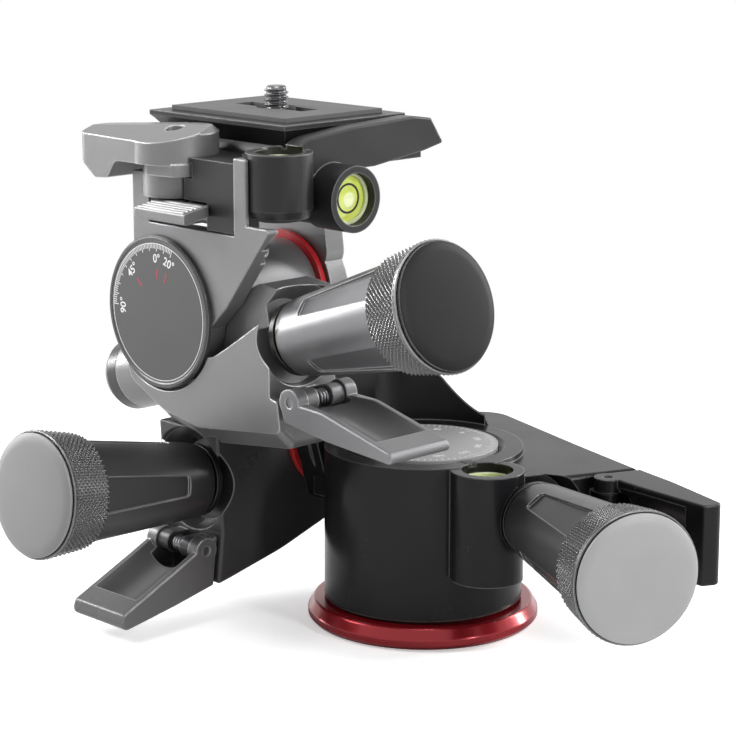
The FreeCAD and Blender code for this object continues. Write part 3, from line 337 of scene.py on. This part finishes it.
def mottled(name, darker, lighter, size, roughness):
    """Plain finish whose colour drifts between two; gives the material and its shader."""
    paint = bpy.data.materials.new(name)
    paint.use_nodes = True
    tree = paint.node_tree
    shader = tree.nodes["Principled BSDF"]
    shader.inputs["Roughness"].default_value = roughness
    place = tree.nodes.new("ShaderNodeTexCoord")
    cloud = tree.nodes.new("ShaderNodeTexNoise")
    cloud.inputs["Scale"].default_value = size
    tree.links.new(place.outputs["Object"], cloud.inputs["Vector"])
    tint = tree.nodes.new("ShaderNodeMix")
    tint.data_type = "RGBA"
    tint.inputs["A"].default_value = (*darker, 1)
    tint.inputs["B"].default_value = (*lighter, 1)
    tree.links.new(cloud.outputs["Fac"], tint.inputs["Factor"])
    tree.links.new(tint.outputs["Result"], shader.inputs["Base Color"])
    return paint, shader


def printed_ink(name, colour):
    """Silk-screened ink: matt, a little uneven where the screen left less of it."""
    thin_ink = [channel * 0.7 for channel in colour]
    return mottled(name, thin_ink, colour, size=3000.0, roughness=0.6)[0]


white_ink = printed_ink("white_ink", (0.8, 0.8, 0.8))
ink_height = 0.00005


def piece_from(bm, name, paint, body, smooth=False):
    """Turns a finished bmesh into a piece that rides on a body."""
    mesh = bpy.data.meshes.new(name)
    bm.to_mesh(mesh)
    bm.free()
    if smooth:
        mesh.shade_smooth()
        mesh.set_sharp_from_angle(angle=math.radians(35))
    mesh.materials.append(paint)
    piece = bpy.data.objects.new(name, mesh)
    bpy.context.scene.collection.objects.link(piece)
    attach(piece, body)
    return piece


def tick(bm, place, width, length):
    """Flat printed mark, long along its own Y."""
    size = Matrix.Diagonal((width, length, ink_height, 1))
    bmesh.ops.create_cube(bm, size=1.0, matrix=place @ size)


def number(bm, text, place, height):
    """Printed figure, centred on its place and facing along its Z."""
    curve = bpy.data.curves.new("figure", "FONT")
    curve.body = text
    curve.size = height
    curve.align_x = "CENTER"
    curve.align_y = "CENTER"
    curve.extrude = ink_height / 2
    curve.offset = height * 0.012
    flat = bpy.data.objects.new("figure", curve)
    bpy.context.scene.collection.objects.link(flat)
    bpy.context.view_layer.update()
    mesh = bpy.data.meshes.new_from_object(flat)
    mesh.transform(place)
    bm.from_mesh(mesh)
    bpy.data.objects.remove(flat)
    bpy.data.curves.remove(curve)
    bpy.data.meshes.remove(mesh)


scale_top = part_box("pan_scale_disc")[1].z
scale_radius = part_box("pan_scale_disc")[1].x
mark_width, mark_margin, number_drop, number_height = 0.00022, 0.0006, 0.0032, 0.0022
marks = bmesh.new()
for degrees in range(0, 360, 5):
    long_mark = degrees % 30 == 0
    length = 0.0022 if long_mark else 0.0013
    turn = Matrix.Rotation(math.radians(degrees), 4, "Z")
    reach = scale_radius - mark_margin - length / 2
    tick(marks, turn @ Matrix.Translation((0, reach, scale_top)), mark_width, length)
    if long_mark:
        below = turn @ Matrix.Translation((0, reach - number_drop, scale_top))
        number(marks, str(degrees), below, number_height)
piece_from(marks, "pan_scale_marks", white_ink, "base")


# ---- Round levels ------------------------------------------------------------------------
# Three round levels set in barrels of the castings: a cup of clear resin with yellow-green
# liquid, a bubble under its lens and a black circle to bring the bubble into.
level_liquid, shader = mottled("level_liquid", (0.50, 0.60, 0.05), (0.74, 0.82, 0.22),
                               size=220.0, roughness=0.08)
shader.inputs["Coat Weight"].default_value = 0.6
shader.inputs["Subsurface Weight"].default_value = 0.15
shader.inputs["Subsurface Radius"].default_value = (0.002, 0.002, 0.0006)
clear_rim = coated_metal(
    "clear_rim", colour=(0.55, 0.6, 0.35), edge_wear_highlight=(0.9, 0.95, 0.7), metallic=0.0,
    gloss=(0.1, 0.16), grain_size=900.0, grain_depth=2e-6, edge_radius=0.0002, coat=0.5,
)
black_ink = printed_ink("black_ink", (0.01, 0.01, 0.01))
bubble_skin, shader = mottled("bubble_skin", (0.72, 0.8, 0.35), (0.86, 0.9, 0.55),
                              size=500.0, roughness=0.05)
shader.inputs["Coat Weight"].default_value = 1.0


def turned_about(profile, place, steps=64):
    """Solid of revolution from (radius, height) corners about its place's Z."""
    bm = bmesh.new()
    corners = [bm.verts.new((radius, 0, height)) for radius, height in profile]
    edges = [bm.edges.new(pair) for pair in zip(corners, corners[1:])]
    if profile[0][0] > 0 or profile[-1][0] > 0:
        edges.append(bm.edges.new((corners[-1], corners[0])))
    bmesh.ops.spin(bm, geom=corners + edges, cent=(0, 0, 0), axis=(0, 0, 1),
                   angle=2 * math.pi, steps=steps, use_merge=True)
    bmesh.ops.remove_doubles(bm, verts=bm.verts, dist=1e-7)
    bmesh.ops.recalc_face_normals(bm, faces=bm.faces)
    bm.transform(place)
    return bm


cup_wall, cup_depth, cup_chamfer = 0.0009, 0.0034, 0.0002


def round_level(name, mouth, radius, body, node):
    """Cup, liquid lens, circle and bubble of one level; mouth is the middle of its top."""
    inner = radius - cup_wall
    rim = turned_about([
        (inner, -0.0012), (inner, -cup_chamfer), (radius - 0.0007, 0),
        (radius - 0.0001, 0), (radius, -cup_chamfer), (radius, -cup_depth), (inner, -cup_depth),
    ], mouth)
    piece_from(rim, name + "_rim", clear_rim, body)
    lens = turned_about([
        (0, -cup_depth), (inner, -cup_depth), (inner, -0.0010),
        (radius * 0.6, -0.0006), (radius * 0.3, -0.00045), (0, -0.0004),
    ], mouth)
    liquid = piece_from(lens, name, level_liquid, body, smooth=True)
    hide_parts(node)
    circle = turned_about([
        (radius * 0.50, -0.0005), (radius * 0.50, -0.00042),
        (radius * 0.58, -0.00045), (radius * 0.58, -0.00053),
    ], mouth)
    piece_from(circle, name + "_circle", black_ink, body)
    bubble = bmesh.new()
    off_centre = mouth @ Matrix.Translation((0.0004, 0.0003, -0.0007))
    flattened = Matrix.Diagonal((radius * 0.34, radius * 0.34, 0.0005, 1))
    bmesh.ops.create_uvsphere(bubble, u_segments=32, v_segments=16, radius=1.0,
                              matrix=off_centre @ flattened)
    piece_from(bubble, name + "_bubble", bubble_skin, body, smooth=True)


pan_low, pan_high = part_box("pan_level_vial")
top_low, top_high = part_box("top_level_vial")
side_low, side_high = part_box("side_level_vial")
pan_middle = (pan_low + pan_high) / 2
top_middle = (top_low + top_high) / 2
side_middle = (side_low + side_high) / 2
round_level("pan_level", Matrix.Translation((pan_middle.x, pan_middle.y, pan_high.z)),
            (pan_high.x - pan_low.x) / 2, "pan_stage", "pan_level_vial")
round_level("top_level", Matrix.Translation((top_middle.x, top_middle.y, top_high.z)),
            (top_high.x - top_low.x) / 2, "tilt_stage", "top_level_vial")
round_level("side_level",
            Matrix.Translation((side_high.x, side_middle.y, side_middle.z))
            @ Matrix.Rotation(math.radians(90), 4, "Y"),
            (side_high.y - side_low.y) / 2, "tilt_stage", "side_level_vial")


# ---- Roll pivot and rolling stage --------------------------------------------------------
# The roll housing hangs on a steel shaft, against a red friction ring. It is cast and
# painted satin black, and a screwed cover closes its outer side.
red_ring = coated_metal(
    "red_ring", colour=(0.45, 0.015, 0.02), edge_wear_highlight=(0.7, 0.2, 0.18), metallic=0.1,
    gloss=(0.28, 0.36), grain_size=1500.0, grain_depth=4e-6, edge_radius=0.0002,
)
for name in ("roll_friction_ring", "tilt_friction_ring"):
    finish_node(name, red_ring)
roll_black = coated_metal(
    "roll_black", colour=(0.034, 0.034, 0.035), edge_wear_highlight=(0.22, 0.22, 0.22), metallic=0.0,
    gloss=(0.26, 0.34), grain_size=1500.0, grain_depth=6e-6, edge_radius=0.0006, specular=0.35,
)
for name in ("roll_housing", "roll_cover"):
    finish_node(name, roll_black)
finish_node("roll_pivot_shaft", turned_steel)


# ---- Middle frame ------------------------------------------------------------------------
# Light grey satin casting that joins the roll housing to the tilt axle. Two screws from
# below hold it on the roll housing.
frame_grey = coated_metal(
    "frame_grey", colour=(0.175, 0.175, 0.178), edge_wear_highlight=(0.62, 0.62, 0.62), metallic=0.5,
    gloss=(0.30, 0.40), grain_size=1900.0, grain_depth=3.5e-5, edge_radius=0.0006,
)
for name in ("mid_frame", "top_bracket"):
    finish_node(name, frame_grey)
finish_node("frame_screws", turned_steel)


# ---- Tilt dial ---------------------------------------------------------------------------
# Aluminium plate on the axle's front end, lacquered dark grey and lightened along its raised
# rim, partly rubbed wear and partly painted highlight, with the tilt scale and its plain numbers
# printed on it.
dial_low, dial_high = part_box("tilt_dial")
dial_middle = Vector(((dial_low.x + dial_high.x) / 2, dial_low.y, (dial_low.z + dial_high.z) / 2))
dial_radius = (dial_high.x - dial_low.x) / 2
dial_thickness, dial_chamfer = 0.0014, 0.0005
rim_width, recess_margin, dial_face = 0.0011, 0.0014, -0.00025
dial_place = Matrix.Translation(dial_middle) @ Matrix.Rotation(math.radians(90), 4, "X")
dial_lacquer = coated_metal(
    "dial_lacquer", colour=(0.06, 0.06, 0.062), edge_wear_highlight=(0.45, 0.45, 0.45), metallic=0.3,
    gloss=(0.3, 0.36), grain_size=2200.0, grain_depth=4e-6, edge_radius=0.0002,
)
plate = turned_about([
    (0, -dial_thickness), (dial_radius, -dial_thickness), (dial_radius, -dial_chamfer),
    (dial_radius - dial_chamfer, 0), (dial_radius - rim_width, 0),
    (dial_radius - recess_margin, dial_face), (0, dial_face),
], dial_place, steps=128)
dial = piece_from(plate, "tilt_dial_plate", dial_lacquer, "roll_stage")
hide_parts("tilt_dial")
red_ink = printed_ink("red_ink", (0.6, 0.03, 0.05))
line_inner, line_outer = dial_radius * 0.895, dial_radius * 0.905
figure_reach, figure_height, stop_reach = dial_radius * 0.70, 0.0031, dial_radius * 0.5
line = turned_about([
    (line_inner, dial_face), (line_outer, dial_face),
    (line_outer, dial_face + ink_height), (line_inner, dial_face + ink_height),
], dial_place, steps=128)
for degrees in range(-20, 92, 2):
    turn = dial_place @ Matrix.Rotation(math.radians(degrees), 4, "Z")
    long_mark = degrees % 10 == 0
    length = 0.0019 if long_mark else 0.0012
    tick(line, turn @ Matrix.Translation((0, line_inner - length / 2, dial_face)),
         mark_width, length)
for degrees, figure in ((0, "0°"), (-20, "20°"), (45, "45°"), (90, "90°")):
    turn = dial_place @ Matrix.Rotation(math.radians(degrees), 4, "Z")
    number(line, figure, turn @ Matrix.Translation((0, figure_reach, dial_face)), figure_height)
piece_from(line, "tilt_dial_scale", white_ink, "roll_stage")
stop_width, stop_length = 0.0003, 0.0026
stops = bmesh.new()
for degrees in (0, -20, 45):
    turn = dial_place @ Matrix.Rotation(math.radians(degrees), 4, "Z")
    tick(stops, turn @ Matrix.Translation((0, stop_reach, dial_face)), stop_width, stop_length)
piece_from(stops, "tilt_dial_stops", red_ink, "roll_stage")
finish_node("tilt_axle", turned_steel)
for name in ("axle_cap", "tilt_worm_cap"):
    finish_node(name, roll_black)


# ---- Receiver ----------------------------------------------------------------------------
# Dark grey casting that takes the camera plate, screwed down on the tilting bracket.
receiver_grey = coated_metal(
    "receiver_grey", colour=(0.014, 0.014, 0.015), edge_wear_highlight=(0.3, 0.3, 0.3), metallic=0.0,
    gloss=(0.32, 0.42), grain_size=1400.0, grain_depth=1.2e-5, edge_radius=0.0005,
    specular=0.3,
)
finish_node("receiver", receiver_grey)
finish_node("receiver_screws", turned_steel)


# ---- Quick release -----------------------------------------------------------------------
# The cast cam lever clamps the plate as it swings on a steel pin; the small catch under it
# stops it from opening by accident.
for name in ("quick_release_lever", "safety_catch"):
    finish_node(name, frame_grey)
finish_node("quick_release_pivot", turned_steel)


# ---- Camera plate ------------------------------------------------------------------------
# Dark plate with a thin rubber sheet glued on, and the camera screw standing out of it.
finish_node("camera_plate", receiver_grey)
rubber = coated_metal(
    "rubber", colour=(0.07, 0.07, 0.071), edge_wear_highlight=(0.07, 0.07, 0.07), metallic=0.0,
    gloss=(0.62, 0.75), grain_size=1100.0, grain_depth=2e-5, edge_radius=0.0003,
)
finish_node("rubber_pad", rubber)
screw_dark = coated_metal(
    "screw_dark", colour=(0.12, 0.12, 0.125), edge_wear_highlight=(0.5, 0.5, 0.5), metallic=1.0,
    gloss=(0.25, 0.35), grain_size=1800.0, grain_depth=3e-6, edge_radius=0.0001,
)
screw_low, screw_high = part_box("camera_screw")
screw_x = (screw_low.x + screw_high.x) / 2
screw_y = (screw_low.y + screw_high.y) / 2
head_radius = (screw_high.x - screw_low.x) / 2
screw_place = Matrix.Translation((screw_x, screw_y, 0))
head_height, head_rim, head_recess, screw_chamfer = 0.0032, 0.0012, 0.0008, 0.0004
thread_radius, thread_core, thread_pitch, thread_turns = 0.00316, 0.0026, 0.00127, 5
thread_steps, thread_end, crest_half, root_half, root_sink = 32, 0.0007, 0.00012, 0.0005, 0.0002
head_top = screw_low.z + head_height
recess_top = screw_low.z + head_recess
screw = turned_about([
    (0, recess_top), (head_radius - head_rim, recess_top),
    (head_radius - head_rim, screw_low.z), (head_radius - 0.0003, screw_low.z),
    (head_radius, screw_low.z + screw_chamfer), (head_radius, head_top),
    (thread_core, head_top), (thread_core, screw_high.z - screw_chamfer),
    (thread_core - screw_chamfer, screw_high.z), (0, screw_high.z),
], screw_place)
ridge = bmesh.new()
ridge_start = screw_high.z - thread_end - thread_pitch * thread_turns
corners = [ridge.verts.new((radius, 0, ridge_start + rise)) for radius, rise in (
    (thread_core - root_sink, -root_half), (thread_radius, -crest_half),
    (thread_radius, crest_half), (thread_core - root_sink, root_half))]
outline = [ridge.edges.new(pair) for pair in zip(corners, corners[1:] + corners[:1])]
bmesh.ops.spin(ridge, geom=corners + outline, cent=(0, 0, 0), axis=(0, 0, 1),
               dvec=(0, 0, thread_pitch / thread_steps), angle=2 * math.pi * thread_turns,
               steps=thread_steps * thread_turns, use_merge=False)
bmesh.ops.holes_fill(ridge, edges=[e for e in ridge.edges if e.is_boundary])
bmesh.ops.recalc_face_normals(ridge, faces=ridge.faces)
ridge.transform(screw_place)
ridge_mesh = bpy.data.meshes.new("ridge")
ridge.to_mesh(ridge_mesh)
ridge.free()
screw.from_mesh(ridge_mesh)
bpy.data.meshes.remove(ridge_mesh)
screw_piece = piece_from(screw, "camera_screw_thread", screw_dark, "camera_screw")
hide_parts("camera_screw")


# ---- Knobs -------------------------------------------------------------------------------
# Each worm ends in a tapered, fluted knob of satin aluminium. Its ring is diamond knurled,
# and a domed plastic cap closes the end.
# Each axis in millimetres, as the frame has it: where it starts, the way that the knob
# points, and the way from the knob to its lever.
knob_places = {
    "pan": ((5.3576, 12.9343, 34.5), (0.92388, -0.38268, 0), (0.38268, 0.92388, 0)),
    "roll": ((-44.0, -1.8113, 31.1029), (0, -0.99357, 0.1132), (0, -0.1132, -0.99357)),
    "tilt": ((-46.477, -34.0, 66.3905), (0.95782, 0, 0.28736), (0.28736, 0, -0.95782)),
}
grip_near, grip_far = 0.078, 0.0901
grip_near_radius, grip_far_radius, neck_radius = 0.0147, 0.0163, 0.0134
knurls_round, knurl_rows, knurl_depth = 68, 9, 0.00055


def knurled_ring(place):
    """Cone of small pyramids, closed by plain faces towards the knob's core."""
    bm = bmesh.new()
    bmesh.ops.create_cone(bm, cap_ends=False, segments=knurls_round,
                          radius1=grip_near_radius - knurl_depth,
                          radius2=grip_far_radius - knurl_depth, depth=grip_far - grip_near)
    upright = [e for e in bm.edges if abs(e.verts[0].co.z - e.verts[1].co.z) > 1e-6]
    bmesh.ops.subdivide_edges(bm, edges=upright, cuts=knurl_rows - 1, use_grid_fill=True)
    square_edges = [e for e in bm.edges if not e.is_boundary]
    bmesh.ops.poke(bm, faces=bm.faces[:], offset=0.0)
    bmesh.ops.dissolve_edges(bm, edges=square_edges, use_verts=False)
    bmesh.ops.recalc_face_normals(bm, faces=bm.faces)
    diamonds = [f for f in bm.faces if len(f.verts) == 4]
    bmesh.ops.poke(bm, faces=diamonds, offset=knurl_depth)
    for end in (-1, 1):
        level = end * (grip_far - grip_near) / 2
        rim = [e for e in bm.edges if e.is_boundary
               and all(abs(v.co.z - level) < 1e-5 for v in e.verts)]
        made = bmesh.ops.extrude_edge_only(bm, edges=rim)["geom"]
        inner = [g for g in made if isinstance(g, bmesh.types.BMVert)]
        reach = inner[0].co.xy.length
        bmesh.ops.scale(bm, vec=(neck_radius / reach, neck_radius / reach, 1), verts=inner)
    holes = [e for e in bm.edges if e.is_boundary]
    bmesh.ops.bridge_loops(bm, edges=holes)
    bmesh.ops.recalc_face_normals(bm, faces=bm.faces)
    bmesh.ops.translate(bm, vec=(0, 0, (grip_near + grip_far) / 2), verts=bm.verts)
    bm.transform(place)
    return bm


knurled_light = coated_metal(
    "knurled_light", colour=(0.05, 0.05, 0.051), edge_wear_highlight=(0.5, 0.5, 0.5), metallic=0.75,
    gloss=(0.22, 0.3), grain_size=2500.0, grain_depth=2e-6, edge_radius=0.0002,
)
knurled_dark = coated_metal(
    "knurled_dark", colour=(0.04, 0.04, 0.041), edge_wear_highlight=(0.4, 0.4, 0.4), metallic=0.75,
    gloss=(0.22, 0.3), grain_size=2500.0, grain_depth=2e-6, edge_radius=0.0002,
)
knob_dark = coated_metal(
    "knob_dark", colour=(0.06, 0.06, 0.061), edge_wear_highlight=(0.45, 0.45, 0.45), metallic=0.6,
    gloss=(0.28, 0.36), grain_size=1600.0, grain_depth=6e-6, edge_radius=0.0005,
)
knob_light = coated_metal(
    "knob_light", colour=(0.15, 0.15, 0.155), edge_wear_highlight=(0.5, 0.5, 0.5), metallic=0.7,
    gloss=(0.28, 0.36), grain_size=1600.0, grain_depth=6e-6, edge_radius=0.0005,
)
# The three caps are the same plastic, given three greys that paint how the light falls on them:
# lightest on the pan cap as a painted reflection, near black on the tilt cap as painted shade,
# mid grey on the roll cap.
cap_grey_painted_lit = coated_metal(
    "cap_grey_painted_lit", colour=(0.27, 0.27, 0.273), edge_wear_highlight=(0.4, 0.4, 0.4), metallic=0.0,
    gloss=(0.42, 0.5), grain_size=1600.0, grain_depth=8e-6, edge_radius=0.0004,
)
cap_mid_painted_part_lit = coated_metal(
    "cap_mid_painted_part_lit", colour=(0.17, 0.17, 0.173), edge_wear_highlight=(0.4, 0.4, 0.4), metallic=0.0,
    gloss=(0.42, 0.5), grain_size=1600.0, grain_depth=8e-6, edge_radius=0.0004,
)
cap_black_painted_shade = coated_metal(
    "cap_black_painted_shade", colour=(0.008, 0.008, 0.008), edge_wear_highlight=(0.4, 0.4, 0.4), metallic=0.0,
    gloss=(0.44, 0.52), grain_size=1600.0, grain_depth=8e-6, edge_radius=0.0004, specular=0.12,
)
knob_looks = {"pan": (knob_dark, cap_grey_painted_lit, knurled_dark),
              "roll": (knob_dark, cap_mid_painted_part_lit, knurled_dark),
              "tilt": (knob_light, cap_black_painted_shade, knurled_light)}
cap_low, cap_radius, cap_edge, cap_rise = 0.0871, 0.0154, 0.0912, 0.00075
plug_radius = neck_radius - 0.002
for name, (foot, along, away) in knob_places.items():
    body_paint, cap_paint, ring_paint = knob_looks[name]
    along, away = Vector(along).normalized(), Vector(away).normalized()
    turn = Matrix((away, along.cross(away), along)).transposed().to_4x4()
    knob_place = Matrix.Translation(Vector(foot) * mm) @ turn
    grip = piece_from(knurled_ring(knob_place), name + "_knurled_ring", ring_paint,
                      name + "_knob")
    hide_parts(name + "_knob_grip")
    finish_node(name + "_knob_body", body_paint)
    dome = [(cap_radius * math.cos(angle), cap_edge + cap_rise * math.sin(angle))
            for angle in (0.35, 0.6, 0.8, 1.0, 1.2, 1.4)]
    cap = turned_about(
        [(0, cap_low), (plug_radius, cap_low), (plug_radius, grip_far),
         (cap_radius - 0.0004, grip_far), (cap_radius - 0.0004, grip_far + 0.0002),
         (cap_radius, grip_far + 0.0003), (cap_radius, cap_edge - 0.0003)]
        + dome + [(0, cap_edge + cap_rise)],
        knob_place, steps=96)
    cap_piece = piece_from(cap, name + "_domed_cap", cap_paint, name + "_knob",
                           smooth=True)
    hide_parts(name + "_knob_cap")


# ---- Release levers ----------------------------------------------------------------------
# A cast lever beside each knob lifts the worm out of mesh. It turns on a steel pin between
# two lugs, and a spring of round wire pushes it back.
lever_dark = coated_metal(
    "lever_dark", colour=(0.1, 0.1, 0.102), edge_wear_highlight=(0.5, 0.5, 0.5), metallic=0.3,
    gloss=(0.26, 0.34), grain_size=1500.0, grain_depth=8e-6, edge_radius=0.0006,
)
lever_light = coated_metal(
    "lever_light", colour=(0.17, 0.17, 0.175), edge_wear_highlight=(0.5, 0.5, 0.5), metallic=0.4,
    gloss=(0.28, 0.36), grain_size=1500.0, grain_depth=8e-6, edge_radius=0.0006,
)
spring_wire = coated_metal(
    "spring_wire", colour=(0.2, 0.2, 0.21), edge_wear_highlight=(0.4, 0.4, 0.4), metallic=1.0,
    gloss=(0.3, 0.4), grain_size=2500.0, grain_depth=3e-6, edge_radius=0.0001,
)
for name, paint in (("pan", pan_black), ("roll", lever_dark), ("tilt", lever_light)):
    finish_node(name + "_lever", paint)
    finish_node(name + "_lever_pin", turned_steel)
    finish_node(name + "_lever_spring", spring_wire)


# ---- Gears -------------------------------------------------------------------------------
# Ground steel worms run in bronze bushes, coloured near black where their collars show at
# the knob roots, and turn brass wheels inside the castings.
wheel_brass = coated_metal(
    "wheel_brass", colour=(0.62, 0.44, 0.16), edge_wear_highlight=(0.85, 0.7, 0.4), metallic=1.0,
    gloss=(0.26, 0.36), grain_size=1600.0, grain_depth=4e-6, edge_radius=0.0001,
)
bush_bronze = coated_metal(
    "bush_bronze", colour=(0.03, 0.028, 0.026), edge_wear_highlight=(0.22, 0.2, 0.18), metallic=0.6,
    gloss=(0.3, 0.4), grain_size=1200.0, grain_depth=6e-6, edge_radius=0.0002,
)
for name in ("pan", "roll", "tilt"):
    finish_node(name + "_worm", turned_steel)
    finish_node(name + "_worm_bushes", bush_bronze)
    finish_node(name + "_worm_wheel", wheel_brass)
